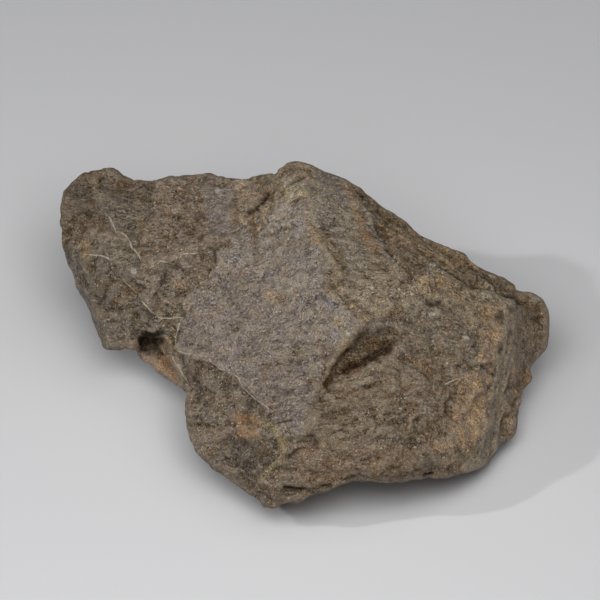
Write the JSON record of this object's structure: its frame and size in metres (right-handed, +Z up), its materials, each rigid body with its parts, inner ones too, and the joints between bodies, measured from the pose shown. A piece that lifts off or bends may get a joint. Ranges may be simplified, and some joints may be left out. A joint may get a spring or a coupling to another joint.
{
  "type": "chondrite meteorite",
  "caption": "Broken, weathered stony meteorite with a steep broad face, a lobe at one end and a knob at the other, lying on a small flat spot.",
  "frame": {"origin": "on the surface that the stone rests on, under the middle of its box", "axes": "+X along the stone's longest way, from the lobe to the knob; +Y towards its low back; -Y towards its steep broad face; +Z up from the resting spot"},
  "size_m": [0.0618, 0.048, 0.0264],
  "materials": {
    "meteorite_stone": "dull broken stone, brown-grey with rust and olive patches, fine pale specks and thin pale veins"
  },
  "bodies": {
    "root": {"meteorite": "meteorite_stone"}
  },
  "joints": []
}
